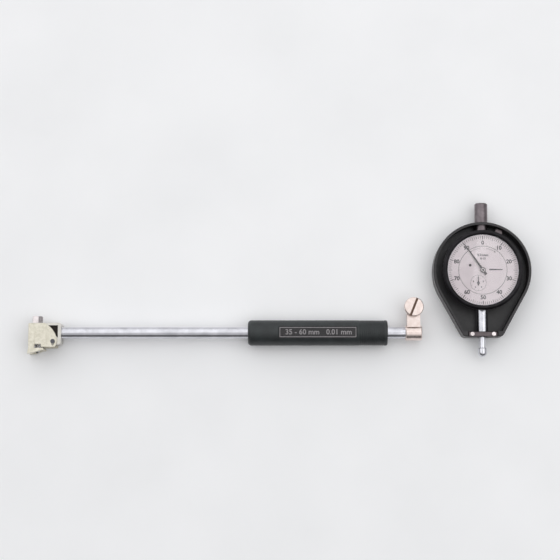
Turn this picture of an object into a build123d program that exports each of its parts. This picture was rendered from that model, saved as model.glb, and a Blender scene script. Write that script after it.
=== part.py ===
from build123d import *
import math
import os

# Dial bore gauge: a holder with a measuring head at one end of its tube, and the dial indicator
# that plugs into the clamp at the other end. They lie on a bench as two things, face up.
# Frame: millimetres, +Z up. The origin is on the bench, under the middle of the dial.
# The holder's tube runs along X. The indicator's stem points along -Y.

# Fits and clearances
slide_fit = 0.05
seat_fit = 0.02
body_gap = 0.3
contact_gap = 0.12
overrun = 1.0
edge_chamfer = 0.5

# Indicator: guard
guard_room = 4.5
guard_wall = 1.8
guard_floor = 2.0
guard_height = 16.0
neck_reach = 12.2
neck_thickness = 3.7
neck_half_width = 15.0
neck_corner = 3.0
cap_hole_gap = 0.6
stem_rest_length = 6.0
stem_rest_half_width = 3.0
saddle_half_width = 10.5
saddle_height = 6.0
saddle_screw_spacing = 15.2
saddle_screw_radius = 1.0
saddle_screw_head_radius = 1.6
saddle_screw_head = 1.1
saddle_screw_chamfer = 0.25
saddle_screw_slot = 0.5
saddle_screw_turn = 30.0
saddle_screw_depth = 11.0

# Indicator: case and back cover
case_radius = 26.0
case_wall = 3.0
case_depth = 12.0
front_wall = 1.6
back_cover_thickness = 1.6
back_cover_inset = 0.4
back_screw_radius = 0.8
back_screw_head_radius = 1.4
back_screw_head = 0.8
back_screw_length = 4.5
back_screw_count = 4
back_screw_spare = 0.5
boss_half_width = 6.0
boss_depth = 2.0
boss_lift = 0.6
neck_ring_step = 1.4
neck_ring_wall = 2.2
neck_ring_height = 1.5
dial_boss_wall = 3.0
dial_boss_height = 1.8

# Indicator: stem, spindle and what is on it
spindle_height_in_case = 5.4
spindle_radius = 2.4
spindle_chamfer = 0.6
spindle_below_neck = 7.8
spindle_travel = 10.0
travel_spare = 0.4
cap_spare = 2.9
stem_radius = 4.0
upper_bushing_radius = 3.4
upper_bushing_reach = 4.1
top_cap_radius = 4.6
top_cap_stand = 0.4
top_cap_length = 22.6
top_cap_wall = 1.7
top_cap_end_wall = 1.6
top_cap_chamfer = 0.8
contact_radius = 3.2
contact_chamfer = 0.4
contact_length = 6.4
contact_stud_radius = 1.25
contact_stud_length = 5.0
contact_stud_spare = 0.5
crosshead_y = 1.0
crosshead_radius = 1.0
crosshead_peg_x = -7.2
crosshead_peg_radius = 0.9
crosshead_left = -9.8
crosshead_right = 2.9
spring_line_x = -8.7

# Indicator: thumb screw and claw that hold the bezel still
claw_degrees = 67.0
claw_width = 5.0
claw_low = 9.4
claw_height = 4.2
claw_lip = 1.6
claw_lip_height = 8.6
claw_reach = 4.5
thumb_shank_radius = 1.0
thumb_shank_depth = 2.4
thumb_radius = 2.6
thumb_thickness = 1.4
thumb_knurls = 20
thumb_knurl_width = 0.35

# Indicator: movement
plate_room = 2.2
plate_thickness = 1.0
plate_gap = 0.6
pillar_inset = 1.83
pillar_degrees = 33.6
pillar_radius = 1.5
pivot_spare = 0.1
rack_pitch = 0.625
rack_teeth = 21
rack_teeth_above = 2
pinion_teeth = 16
pinion_length = 3.2
counter_x = -3.3
counter_y = -9.2
gear_teeth = 100
centre_teeth = 10
takeup_teeth = 60
gear_thickness = 0.6
tooth_share = 0.40
tooth_depth = 1.15
tooth_height = 0.9
tooth_foot = 1.45
tooth_crest = 0.5
gear_window_count = 4
gear_window_place = 0.55
gear_window_size = 0.26
arbor_radius = 0.6
arbor_shoulder = 1.0
centre_arbor_radius = 0.5
centre_bushing_radius = 1.6
hairspring_height = 0.4
hairspring_strip = 0.12
hairspring_step = 0.25
hairspring_turns = 5
spring_post_radius = 0.8
return_coil_radius = 0.9
return_wire = 0.2
return_coils = 11

# Indicator: dial, hands, bezel and crystal
dial_thickness = 0.5
scale_ring_width = 8.6
dial_boss_inset = 0.8
bezel_skirt_step = 1.3
spacer_wall = 0.9
spacer_height = 1.7
crystal_thickness = 1.0
crystal_edge = 0.95
crystal_rise = 0.9
crystal_lip_gap = 0.1
bezel_wall = 2.6
bezel_foot_chamfer = 0.7
bezel_lip_slope = 1.4
bezel_side_height = 4.2
bezel_top_rise = 1.3
bezel_lip = 0.7
bezel_chamfer = 1.5
knurl_count = 60
knurl_depth = 0.5
knurl_width = 1.2
knurl_clear = 0.2
wire_radius = 0.3
wire_gap_degrees = 14.0
hand_thickness = 0.25
hand_tip_margin = 3.2
hand_tail = 4.0
hand_tail_share = 0.6
hand_root_width = 1.5
hand_tip_width = 0.35
hand_hub_radius = 1.9
hand_rest_degrees = 125.0
hand_height = 0.9
counter_hand_length = 4.9
counter_hand_tail = 1.7
counter_hand_root = 0.8
counter_hand_tip = 0.3
counter_hub_radius = 0.95
counter_hand_height = 0.25

# Holder: place and main lengths
grip_radius = 9.0
tube_y = -44.0
head_x = -316.7
tube_radius = 4.0
tube_wall = 0.7
tube_socket = 7.5
grip_front = -166.8
grip_rear = -67.6
grip_front_round = 2.5
grip_rear_round = 1.2
groove_count = 13
groove_pitch = 1.4
groove_width = 0.7
groove_depth = 0.4
groove_margin = 2.6
label_start = -145.0
label_length = 55.7
label_width = 8.5
label_depth = 1.7
label_plate_thickness = 0.6
label_corner = 1.0

# Holder: clamp
collar_radius = 5.4
collar_start = -54.8
collar_length = 11.7
tube_in_collar = 3.0
ear_width = 9.4
ear_half_thickness = 3.6
ear_slot = 1.0
ear_slot_start = 2.0
knob_offset = 18.1
knob_radius = 6.9
knob_thickness = 4.6
knob_round = 1.0
knob_slot_width = 1.6
knob_slot_depth = 1.8
knob_slot_degrees = 68.0
knob_knurls = 36
knob_knurl_width = 0.8
knob_knurl_offset = 0.2
clamp_screw_radius = 1.9

# Holder: head
head_left = -4.6
head_right = 17.5
head_top = 6.7
head_bottom = -8.7
head_half_thickness = 6.9
head_corner = 1.5
head_pocket_depth = 2.1
head_pocket_left = 7.6
head_pocket_right = 15.3
head_pocket_top = 4.9
head_pocket_bottom = -4.0
anvil_bore_radius = 1.75
anvil_bore_bottom = 2.4
nipple_radius = 2.5
nipple_end = 10.0
nut_flats = 7.0
nut_end = 11.8
nut_lip_radius = 1.95
nut_turn_degrees = 15.7
nut_chamfer = 0.4
plunger_radius = 2.4
plunger_shoulder = -12.6
plunger_nose_radius = 1.5
plunger_pin_radius = 0.9
plunger_pin_length = 2.2
tip_radius = 1.1
tip_end = -14.6
contact_travel = 1.6
lever_arm = 4.0
lever_tip_radius = 0.8
lever_arm_width = 1.0
lever_hub_radius = 1.8
lever_half_thickness = 1.3
lever_pin_radius = 0.8
cavity_half_thickness = 1.6
rod_radius = 1.2
rod_chamfer = 0.3
rod_end = -65.5
rod_button_radius = 3.0
rod_button_length = 2.0
rod_collar_radius = 2.6
rod_collar_x = -150.0
rod_collar_length = 1.5
rod_spring_length = 20.5
rod_spring_radius = 2.0
rod_spring_wire = 0.35
rod_spring_coils = 9
bushing_length = 5.0

# Holder: centring bridge
cheek_thickness = 1.2
cheek_left = -5.3
cheek_top = 6.3
cheek_bottom = -10.5
cheek_right = 14.9
cheek_top_run = 6.0
cheek_curve_x = 11.9
cheek_curve_y = 1.6
cheek_curve_end = -6.0
cheek_foot = 13.6
bar_right = -1.2
bar_top = -0.5
bar_foot_gap = 0.5
web_top = -11.2
web_thickness = 1.4
web_right = 5.2
web_hole_radius = 3.2
shoe_inner = 4.0
shoe_left = -6.1
shoe_low = -15.1
shoe_right = 5.6
shoe_right_low = -12.0
shoe_bulge = 0.35
window_left = -0.9
window_right = 3.6
window_bottom_edge = -8.4
bridge_travel = 2.2
bridge_screw_x = 11.9
bridge_screw_y = -6.5
bridge_screw_radius = 0.8
bridge_screw_head_radius = 1.6
bridge_screw_head = 0.5
bridge_screw_slot = 0.4
bridge_screw_turn = 40.0
bridge_screw_depth = 2.5
bridge_spring_z = 4.9
bridge_spring_radius = 0.95
bridge_spring_wire = 0.22
bridge_spring_pocket = 4.0
bridge_spring_coils = 6

# Radii and lengths in the indicator, all from the case
case_bore = case_radius - case_wall
boss_inner = case_bore - boss_depth
neck_ring_radius = case_radius - neck_ring_step
face_seat_radius = neck_ring_radius + bezel_skirt_step
bezel_radius = face_seat_radius + bezel_wall
scale_ring_hole = face_seat_radius - scale_ring_width
centre_dial_radius = scale_ring_hole - body_gap
dial_boss_radius = centre_dial_radius - dial_boss_inset
hand_length = face_seat_radius - hand_tip_margin
plate_radius = case_bore - plate_room
pillar_ring = plate_radius - pillar_inset
spring_post_y = -math.sqrt((plate_radius - spring_post_radius) ** 2 - spring_line_x**2)
guard_radius = bezel_radius + guard_room + guard_wall
neck_end = guard_radius + neck_reach
spindle_end = neck_end + spindle_below_neck
stem_end = spindle_end - spindle_travel - travel_spare
top_cap_start = case_radius + top_cap_stand
top_cap_end = top_cap_start + top_cap_length
upper_bushing_end = top_cap_start + upper_bushing_reach
spindle_top = top_cap_end - top_cap_end_wall - spindle_travel - cap_spare

# Heights in the indicator, all from the guard's floor up
cover_low = guard_floor
case_low = cover_low + back_cover_thickness
case_top = case_low + case_depth
front_plate_top = case_top - front_wall
front_plate_low = front_plate_top - plate_thickness
rear_plate_low = case_low + plate_gap
rear_plate_top = rear_plate_low + plate_thickness
spindle_z = case_low + spindle_height_in_case
gear_low = spindle_z + spindle_radius + body_gap
gear_top = gear_low + gear_thickness
dial_low = case_top + dial_boss_height
dial_top = dial_low + dial_thickness
crystal_low = dial_top + spacer_height
bezel_low = case_top + body_gap
counter_hand_low = dial_top + counter_hand_height
main_hand_low = dial_top + hand_height
main_hand_top = main_hand_low + hand_thickness

# Places in the holder
holder_z = grip_radius
rod_front = head_x + lever_arm + lever_tip_radius + contact_gap
tube_front = head_x + head_right - tube_socket
tube_rear = collar_start + tube_in_collar
tube_bore = tube_radius - tube_wall
collar_end = collar_start + collar_length
collar_middle = collar_start + collar_length / 2
cheek_inner = head_half_thickness + body_gap
cheek_outer = cheek_inner + cheek_thickness
bar_outer = holder_z

# Gear train: the rack turns the counter arbor, whose gear turns the centre pinion
rack_module = rack_pitch / math.pi
pinion_pitch_radius = pinion_teeth * rack_module / 2
centre_distance = math.hypot(counter_x, counter_y)
train_module = 2 * centre_distance / (gear_teeth + centre_teeth)
train_angle = math.degrees(math.atan2(-counter_y, -counter_x))
takeup_angle = (train_angle + 180 - 6 * 360 / centre_teeth) % 360
takeup_distance = train_module * (takeup_teeth + centre_teeth) / 2
takeup_x = takeup_distance * math.cos(math.radians(takeup_angle))
takeup_y = takeup_distance * math.sin(math.radians(takeup_angle))


# Building blocks used by every piece
def rod_z(radius, low, high, x=0, y=0):
    align = (Align.CENTER, Align.CENTER, Align.MIN)
    return Pos(x, y, low) * Cylinder(radius, high - low, align=align)


def rod_y(radius, low, high, x=0, z=0):
    return Pos(x, 0, z) * Rot(-90, 0, 0) * rod_z(radius, low, high)


def rod_x(radius, low, high, y=0, z=0):
    return Pos(0, y, z) * Rot(0, 90, 0) * rod_z(radius, low, high)


def block(x_low, x_high, y_low, y_high, z_low, z_high):
    align = (Align.MIN, Align.MIN, Align.MIN)
    return Pos(x_low, y_low, z_low) * Box(x_high - x_low, y_high - y_low, z_high - z_low, align=align)


def turned_z(points):
    """A closed outline of (radius, height) points turned about Z."""
    return revolve(Plane.XZ * make_face(Polyline(*points, close=True)), Axis.Z)


def turned_y(points, x=0, z=0):
    """A closed outline of (radius, y) points turned about a line along Y."""
    return Pos(x, 0, z) * revolve(make_face(Polyline(*points, close=True)), Axis.Y)


def turned_x(points):
    """A closed outline of (x, radius) points turned about the holder's axis."""
    return Pos(0, tube_y, holder_z) * revolve(make_face(Polyline(*points, close=True)), Axis.X)


def at_head(shape):
    """Place a shape that is drawn about the crossing of the measuring axis and the tube's axis."""
    return Pos(head_x, tube_y, holder_z) * shape


def gear_face(teeth, module, tooth_at_degrees):
    """A gear's outline, with one tooth centred at the given angle."""
    pitch_radius = teeth * module / 2
    root = pitch_radius - tooth_depth * module
    tip = pitch_radius + tooth_height * module
    step = 360 / teeth
    points = []
    for tooth in range(teeth):
        middle = tooth_at_degrees + tooth * step
        flank = tooth_share * step / 2
        for radius, offset in (
            (root, -tooth_foot * flank),
            (tip, -tooth_crest * flank),
            (tip, tooth_crest * flank),
            (root, tooth_foot * flank),
        ):
            turn = math.radians(middle + offset)
            points.append((radius * math.cos(turn), radius * math.sin(turn)))
    return make_face(Polyline(*points, close=True))


def driver_slot(reach, width, depth, degrees, x, y, face):
    """What a screwdriver slot takes out of a screw's head."""
    return Pos(x, y, face) * Rot(0, 0, degrees) * Box(2 * reach + overrun, width, 2 * depth)


def coil(radius, wire, length, turns):
    """A coil spring that starts at z = 0 and stands along Z."""
    path = Helix(pitch=(length - 2 * wire) / turns, height=length - 2 * wire, radius=radius)
    section = Plane(path @ 0, z_dir=path % 0) * Circle(wire)
    return Pos(0, 0, wire) * sweep(section, path=path)


# Indicator: guard with the saddle that holds the stem
def guard_outline():
    corner_x = neck_half_width - neck_corner
    corner_y = -neck_end + neck_corner
    corners = [Pos(x, corner_y) * Circle(neck_corner) for x in (-corner_x, corner_x)]
    edges = Circle(guard_radius).edges() + corners[0].edges() + corners[1].edges()
    return make_hull(edges)


def make_guard():
    outline = guard_outline()
    body = extrude(outline, guard_height)
    body = chamfer(body.faces().sort_by(Axis.Z)[-1].edges(), edge_chamfer)
    inside = offset(outline, -guard_wall)
    inside -= Pos(0, -neck_end) * Rectangle(4 * neck_half_width, 2 * neck_thickness)
    body -= Pos(0, 0, guard_floor) * extrude(inside, guard_height)
    neck_inner = neck_thickness - neck_end
    half = stem_rest_half_width
    body += block(-half, half, neck_inner, neck_inner + stem_rest_length, guard_floor, spindle_z)
    seat = saddle_half_width + body_gap / 2
    body -= block(-seat, seat, -neck_end - overrun, neck_inner + overrun, spindle_z, guard_height + overrun)
    body -= rod_y(stem_radius + seat_fit, -neck_end - overrun, 0, z=spindle_z)
    body -= rod_y(top_cap_radius + cap_hole_gap, 0, guard_radius + overrun, z=spindle_z)
    for x in saddle_screw_places():
        body -= rod_z(saddle_screw_radius, saddle_screw_tip(), spindle_z + overrun, x, saddle_y())
    return body


def saddle_y():
    return -neck_end + neck_thickness / 2


def saddle_screw_places():
    return -saddle_screw_spacing / 2, saddle_screw_spacing / 2


def saddle_screw_tip():
    return spindle_z + saddle_height - saddle_screw_depth


def make_stem_saddle():
    low, top = spindle_z + seat_fit, spindle_z + seat_fit + saddle_height
    half = saddle_half_width
    body = block(-half, half, -neck_end, neck_thickness - neck_end, low, top)
    body = chamfer(body.faces().sort_by(Axis.Z)[-1].edges(), edge_chamfer)
    body -= rod_y(stem_radius + seat_fit, -neck_end - overrun, 0, z=spindle_z)
    for x in saddle_screw_places():
        body -= rod_z(saddle_screw_radius, low - overrun, top + overrun, x, saddle_y())
    return body


def make_saddle_screws():
    top = spindle_z + seat_fit + saddle_height
    screws = []
    face = top + saddle_screw_head
    y = saddle_y()
    for x in saddle_screw_places():
        head = rod_z(saddle_screw_head_radius, top, face, x, y)
        head = chamfer(head.edges().sort_by(Axis.Z)[-1], saddle_screw_chamfer)
        shank = rod_z(saddle_screw_radius, saddle_screw_tip(), top, x, y)
        width, depth = saddle_screw_slot, saddle_screw_head / 2
        slot = driver_slot(saddle_screw_head_radius, width, depth, saddle_screw_turn, x, y, face)
        screws.append(head + shank - slot)
    return screws


# Indicator: case, back cover and their screws
def back_screw_places():
    radius = case_radius - case_wall / 2
    for number in range(back_screw_count):
        turn = math.radians(45 + number * 360 / back_screw_count)
        yield radius * math.cos(turn), radius * math.sin(turn)


def make_indicator_case():
    body = rod_z(case_radius, case_low, case_top) - rod_z(case_bore, case_low - overrun, front_plate_top)
    reach = case_radius - case_wall / 2
    half = boss_half_width
    for low, high in ((-reach, -boss_inner), (boss_inner, reach)):
        body += block(-half, half, low, high, case_low + boss_lift, front_plate_top)
    ring_inner = neck_ring_radius - neck_ring_wall
    body += rod_z(neck_ring_radius, case_top, case_top + neck_ring_height) - rod_z(ring_inner, 0, dial_low)
    boss_hole = dial_boss_radius - dial_boss_wall
    body += rod_z(dial_boss_radius, case_top, dial_low) - rod_z(boss_hole, 0, dial_low)
    body -= Pos(0, 0, wire_z()) * Torus(neck_ring_radius, wire_radius + slide_fit)
    body -= rod_y(stem_radius + seat_fit, -case_radius - overrun, 0, z=spindle_z)
    body -= rod_y(upper_bushing_radius + seat_fit, 0, case_radius + overrun, z=spindle_z)
    hole_low = case_top - 2 * front_wall
    body -= rod_z(centre_bushing_radius + body_gap, hole_low, case_top + overrun)
    body -= rod_z(arbor_shoulder + body_gap, hole_low, case_top + overrun, counter_x, counter_y)
    screw_top = cover_low + back_screw_length + back_screw_head + back_screw_spare
    for x, y in back_screw_places():
        body -= rod_z(back_screw_radius, case_low - overrun, screw_top, x, y)
    return body - thumb_shank(thumb_shank_radius)


def make_back_cover():
    radius = case_radius - back_cover_inset
    body = rod_z(radius, cover_low, case_low)
    body = chamfer(body.edges().sort_by(Axis.Z)[0], edge_chamfer)
    for x, y in back_screw_places():
        body -= rod_z(back_screw_radius, cover_low - overrun, case_low + overrun, x, y)
        body -= rod_z(back_screw_head_radius, cover_low - overrun, cover_low + back_screw_head, x, y)
    return body


def make_back_screws():
    screws = []
    for x, y in back_screw_places():
        head_top = cover_low + back_screw_head
        head = rod_z(back_screw_head_radius, cover_low, head_top, x, y)
        shank = rod_z(back_screw_radius, cover_low, head_top + back_screw_length, x, y)
        width, depth = back_screw_radius / 2, back_screw_head / 2
        screws.append(head + shank - driver_slot(back_screw_head_radius, width, depth, 0, x, y, cover_low))
    return screws


# Indicator: claw that holds the bezel still, and its thumb screw
def at_claw(shape):
    """Turn a shape that is drawn on the +X side of the case to the claw's place."""
    return Rot(0, 0, claw_degrees) * shape


def thumb_z():
    return claw_low + claw_height / 2


def thumb_face():
    return case_radius + claw_reach + body_gap


def thumb_shank(radius):
    return at_claw(rod_x(radius, case_radius - thumb_shank_depth, thumb_face(), z=thumb_z()))


def make_bezel_claw():
    half = claw_width / 2
    end = case_radius + claw_reach
    body = block(case_radius - overrun, end, -half, half, claw_low, claw_low + claw_height)
    body += block(end - claw_lip, end, -half, half, claw_low, claw_low + claw_lip_height)
    body = chamfer(body.edges().filter_by(Axis.Z).sort_by(Axis.X)[-2:], edge_chamfer)
    body -= rod_z(case_radius, 0, 2 * claw_low + claw_height)
    return at_claw(body) - thumb_shank(thumb_shank_radius + slide_fit)


def make_bezel_thumb_screw():
    end = thumb_face() + thumb_thickness
    disc = rod_x(thumb_radius, thumb_face(), end, z=thumb_z())
    disc = chamfer(disc.edges().sort_by(Axis.X)[-1], thumb_knurl_width)
    groove = Pos((thumb_face() + end) / 2, thumb_radius, 0) * Rot(45, 0, 0) * Box(
        2 * thumb_thickness, thumb_knurl_width, thumb_knurl_width
    )
    for number in range(thumb_knurls):
        disc -= Pos(0, 0, thumb_z()) * Rot(number * 360 / thumb_knurls, 0, 0) * groove
    return at_claw(disc) + thumb_shank(thumb_shank_radius)


# Indicator: stem, bushing and cap that guide the spindle
def make_stem():
    tube = rod_y(stem_radius, -stem_end, -boss_inner, z=spindle_z)
    tube = chamfer(tube.edges().sort_by(Axis.Y)[0], edge_chamfer)
    return tube - rod_y(spindle_radius + slide_fit, -stem_end - overrun, 0, z=spindle_z)


def make_upper_bushing():
    tube = rod_y(upper_bushing_radius, boss_inner, upper_bushing_end, z=spindle_z)
    return tube - rod_y(spindle_radius + slide_fit, 0, upper_bushing_end + overrun, z=spindle_z)


def make_top_cap():
    bore = top_cap_radius - top_cap_wall
    seat = upper_bushing_radius + seat_fit
    body = rod_y(top_cap_radius, top_cap_start, top_cap_end, z=spindle_z)
    body = chamfer(body.edges().sort_by(Axis.Y)[-1], top_cap_chamfer)
    body -= rod_y(seat, top_cap_start - overrun, upper_bushing_end + body_gap, z=spindle_z)
    return body - rod_y(bore, top_cap_start, top_cap_end - top_cap_end_wall, z=spindle_z)


# Indicator: spindle with its rack, crosshead and contact point
def make_spindle():
    body = rod_y(spindle_radius, -spindle_end, spindle_top, z=spindle_z)
    body = chamfer(body.edges().sort_by(Axis.Y)[-1], spindle_chamfer)
    end = -spindle_end
    body -= rod_y(contact_stud_radius, end - overrun, end + contact_stud_length, z=spindle_z)
    outside = spindle_radius + overrun
    body -= rod_x(crosshead_radius, -outside, outside, crosshead_y, spindle_z)
    pitch_line = counter_x + pinion_pitch_radius
    tip = pitch_line - tooth_height * rack_module
    root = pitch_line + tooth_depth * rack_module
    tooth = tooth_share * rack_pitch / 2
    top = counter_y + (rack_teeth_above + 0.5) * rack_pitch
    points = [(-outside, top)]
    for number in range(rack_teeth):
        middle = counter_y + (rack_teeth_above - number) * rack_pitch
        points += [
            (root, middle + tooth_foot * tooth),
            (tip, middle + tooth_crest * tooth),
            (tip, middle - tooth_crest * tooth),
            (root, middle - tooth_foot * tooth),
        ]
    points += [(-outside, top - rack_teeth * rack_pitch)]
    comb = make_face(Polyline(*points, close=True))
    return body - Pos(0, 0, spindle_z - outside) * extrude(comb, 2 * outside)


def make_crosshead():
    bar = rod_x(crosshead_radius, crosshead_left, crosshead_right, crosshead_y, spindle_z)
    low = rear_plate_low + pivot_spare
    peg = rod_z(crosshead_peg_radius, low, spindle_z, crosshead_peg_x, crosshead_y)
    return bar + peg


def make_contact_point():
    top = -spindle_end
    end = top - contact_length
    shoulder = end + contact_radius
    body = rod_y(contact_radius, shoulder, top) + Pos(0, shoulder, 0) * Sphere(contact_radius)
    body = chamfer(body.edges().sort_by(Axis.Y)[-1], contact_chamfer)
    body += rod_y(contact_stud_radius, top, top + contact_stud_length - contact_stud_spare)
    return Pos(0, 0, spindle_z) * body


# Indicator: movement plates, pillars and the return spring's post
def movement_plate(low, high):
    body = rod_z(plate_radius, low, high)
    body -= rod_z(arbor_radius + slide_fit, low - overrun, high + overrun, counter_x, counter_y)
    body -= rod_z(centre_arbor_radius + slide_fit, low - overrun, high + overrun, takeup_x, takeup_y)
    return body


def make_rear_plate():
    body = movement_plate(rear_plate_low, rear_plate_top)
    reach = crosshead_y + spindle_travel
    half = crosshead_peg_radius + slide_fit
    x, high = crosshead_peg_x, rear_plate_top + overrun
    slot = block(x - half, x + half, crosshead_y, reach, 0, high)
    return body - slot - rod_z(half, 0, high, x, crosshead_y) - rod_z(half, 0, high, x, reach)


def make_front_plate():
    body = movement_plate(front_plate_low, front_plate_top)
    return body - rod_z(centre_bushing_radius, front_plate_low - overrun, front_plate_top + overrun)


def make_pillars():
    turn = math.radians(pillar_degrees)
    x, y = pillar_ring * math.cos(turn), pillar_ring * math.sin(turn)
    places = ((x, y), (-x, y), (-x, -y), (x, -y))
    return [rod_z(pillar_radius, rear_plate_top, front_plate_low, *place) for place in places]


def make_spring_post():
    top = spindle_z + return_coil_radius + 2 * return_wire
    return rod_z(spring_post_radius, rear_plate_top, top, spring_line_x, spring_post_y)


def make_return_spring():
    loop_low = spring_post_radius + return_wire + slide_fit
    loop_high = crosshead_radius + return_wire + slide_fit
    low = spring_post_y + loop_low
    high = crosshead_y - loop_high
    spring = Pos(spring_line_x, low, spindle_z) * Rot(-90, 0, 0) * coil(
        return_coil_radius, return_wire, high - low, return_coils
    )
    lower = Pos(spring_line_x, spring_post_y, spindle_z) * Torus(loop_low, return_wire)
    upper = Pos(spring_line_x, crosshead_y, spindle_z) * Rot(0, 90, 0) * Torus(loop_high, return_wire)
    reach = spring_line_x + return_coil_radius
    for y in (low + return_wire / 2, high - return_wire / 2):
        spring += rod_x(return_wire, spring_line_x, reach, y, spindle_z)
    return spring + lower + upper


# Indicator: gear train
def make_counter_arbor():
    low = rear_plate_low - body_gap
    body = rod_z(arbor_radius, low, counter_hand_low + hand_thickness, counter_x, counter_y)
    low, high = rear_plate_top + slide_fit, front_plate_low - slide_fit
    body += rod_z(arbor_shoulder, low, high, counter_x, counter_y)
    half_turn_tooth = 180 / pinion_teeth
    pinion = extrude(gear_face(pinion_teeth, rack_module, half_turn_tooth), pinion_length)
    return body + Pos(counter_x, counter_y, spindle_z - pinion_length / 2) * pinion


def make_counter_gear():
    gear = extrude(gear_face(gear_teeth, train_module, train_angle), gear_thickness)
    radius = gear_teeth * train_module / 2
    deep = 4 * gear_thickness
    for number in range(gear_window_count):
        turn = Rot(0, 0, (number + 0.5) * 360 / gear_window_count)
        gear -= turn * Pos(radius * gear_window_place, 0, 0) * Cylinder(radius * gear_window_size, deep)
    gear -= Cylinder(arbor_shoulder, deep)
    return Pos(counter_x, counter_y, gear_low) * gear


def make_centre_arbor():
    gap_tooth = train_angle + 180 + 180 / centre_teeth
    outline = gear_face(centre_teeth, train_module, gap_tooth)
    pinion = Pos(0, 0, gear_low) * extrude(outline, gear_thickness + pivot_spare)
    return rod_z(centre_arbor_radius, gear_low, main_hand_top + pivot_spare) + pinion


def make_centre_bushing():
    low = gear_top + pivot_spare + body_gap
    body = rod_z(centre_bushing_radius, low, dial_low - body_gap)
    return body - rod_z(centre_arbor_radius + slide_fit, low - overrun, dial_low)


def make_takeup_gear():
    gear = extrude(gear_face(takeup_teeth, train_module, takeup_angle + 180), gear_thickness)
    body = Pos(takeup_x, takeup_y, gear_low) * gear
    low, high = rear_plate_low + pivot_spare, front_plate_top - pivot_spare
    body += rod_z(centre_arbor_radius, low, high, takeup_x, takeup_y)
    return body + rod_z(hairspring_inner(), gear_top, front_plate_low - slide_fit, takeup_x, takeup_y)


def hairspring_inner():
    return 1.5 * centre_arbor_radius


def make_hairspring():
    """Half rings whose centres alternate, so that each meets the next with no step."""
    strip = None
    half = hairspring_strip / 2
    for number in range(2 * hairspring_turns):
        radius = hairspring_inner() + half + slide_fit + (number + 1) * hairspring_step
        side = 1 if number % 2 == 0 else -1
        shift = 0 if number % 2 == 0 else hairspring_step
        ring = Circle(radius + half) - Circle(radius - half)
        ring &= Pos(0, side * 3 * radius) * Rectangle(6 * radius, 6 * radius)
        piece = Pos(shift, 0) * ring
        strip = piece if strip is None else strip + piece
    reach = hairspring_inner() + half + slide_fit + hairspring_step
    tail = reach - hairspring_inner()
    strip += Pos((hairspring_inner() + reach) / 2, 0) * Rectangle(tail + half, hairspring_strip)
    low = gear_top + (front_plate_low - gear_top - hairspring_height) / 2
    return Pos(takeup_x, takeup_y, low) * extrude(strip, hairspring_height)


# Indicator: dial, hands, bezel and crystal
def make_centre_dial():
    body = rod_z(centre_dial_radius, dial_low, dial_top)
    low, high = dial_low - overrun, dial_top + overrun
    body -= rod_z(centre_arbor_radius + body_gap, low, high)
    return body - rod_z(arbor_radius + body_gap, low, high, counter_x, counter_y)


def make_scale_ring():
    body = rod_z(face_seat_radius - seat_fit, dial_low, dial_top)
    return body - rod_z(scale_ring_hole, dial_low - overrun, dial_top + overrun)


def make_spacer_ring():
    body = rod_z(face_seat_radius - seat_fit, dial_top, crystal_low)
    return body - rod_z(face_seat_radius - spacer_wall, 0, crystal_low + overrun)


def make_crystal():
    radius = face_seat_radius - seat_fit
    lines = Line((0, crystal_low + crystal_rise), (0, crystal_low + crystal_rise + crystal_thickness))
    lines += dome_arc(radius, crystal_low + crystal_edge, crystal_low + crystal_rise + crystal_thickness)
    lines += Line((radius, crystal_low + crystal_edge), (radius, crystal_low))
    lines += dome_arc(radius, crystal_low, crystal_low + crystal_rise)
    return revolve(Plane.XZ * make_face(lines), Axis.Z)


def dome_arc(radius, edge, middle):
    """The arc of a shallow dome, from its middle to its edge."""
    rise = middle - edge
    sphere = (radius**2 + rise**2) / (2 * rise)
    half = radius / 2
    height = middle - sphere + math.sqrt(sphere**2 - half**2)
    return ThreePointArc((0, middle), (half, height), (radius, edge))


def wire_z():
    return case_top + neck_ring_height / 2 + body_gap / 2


def make_bezel():
    skirt = neck_ring_radius + slide_fit
    side_top = bezel_low + bezel_side_height
    top = side_top + bezel_top_rise
    lip_low = crystal_low + crystal_edge + crystal_lip_gap
    body = turned_z(
        [
            (skirt, bezel_low),
            (bezel_radius - bezel_foot_chamfer, bezel_low),
            (bezel_radius, bezel_low + bezel_foot_chamfer),
            (bezel_radius, side_top),
            (bezel_radius - bezel_chamfer, top),
            (face_seat_radius - bezel_lip + bezel_lip_slope, top),
            (face_seat_radius - bezel_lip, lip_low),
            (face_seat_radius, lip_low),
            (face_seat_radius, dial_low),
            (skirt, dial_low),
        ]
    )
    body -= Pos(0, 0, wire_z()) * Torus(neck_ring_radius, wire_radius + 2 * slide_fit)
    half = knurl_width / 2
    outside = bezel_radius + knurl_clear
    points = ((bezel_radius - knurl_depth, 0), (outside, half), (outside, -half))
    groove = make_face(Polyline(*points, close=True))
    groove = Pos(0, 0, bezel_low - overrun) * extrude(groove, bezel_side_height + overrun)
    cuts = [Rot(0, 0, number * 360 / knurl_count) * groove for number in range(knurl_count)]
    return body - cuts


def make_bezel_wire():
    ring = Torus(neck_ring_radius - slide_fit / 2, wire_radius - slide_fit / 2)
    half = neck_ring_radius * math.radians(wire_gap_degrees) / 2
    gap = block(0, bezel_radius, -half, half, -overrun, overrun)
    return Pos(0, 0, wire_z()) * (ring - gap)


def pointer(length, tail, root_width, tip_width, hub_radius, low):
    """A tapered hand along +X with a round hub and a short tail."""
    outline = make_face(
        Polyline(
            (-tail, -root_width * hand_tail_share),
            (-tail, root_width * hand_tail_share),
            (0, root_width / 2),
            (length, tip_width / 2),
            (length, -tip_width / 2),
            (0, -root_width / 2),
            close=True,
        )
    )
    outline += Circle(hub_radius)
    return Pos(0, 0, low) * extrude(outline, hand_thickness)


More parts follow.
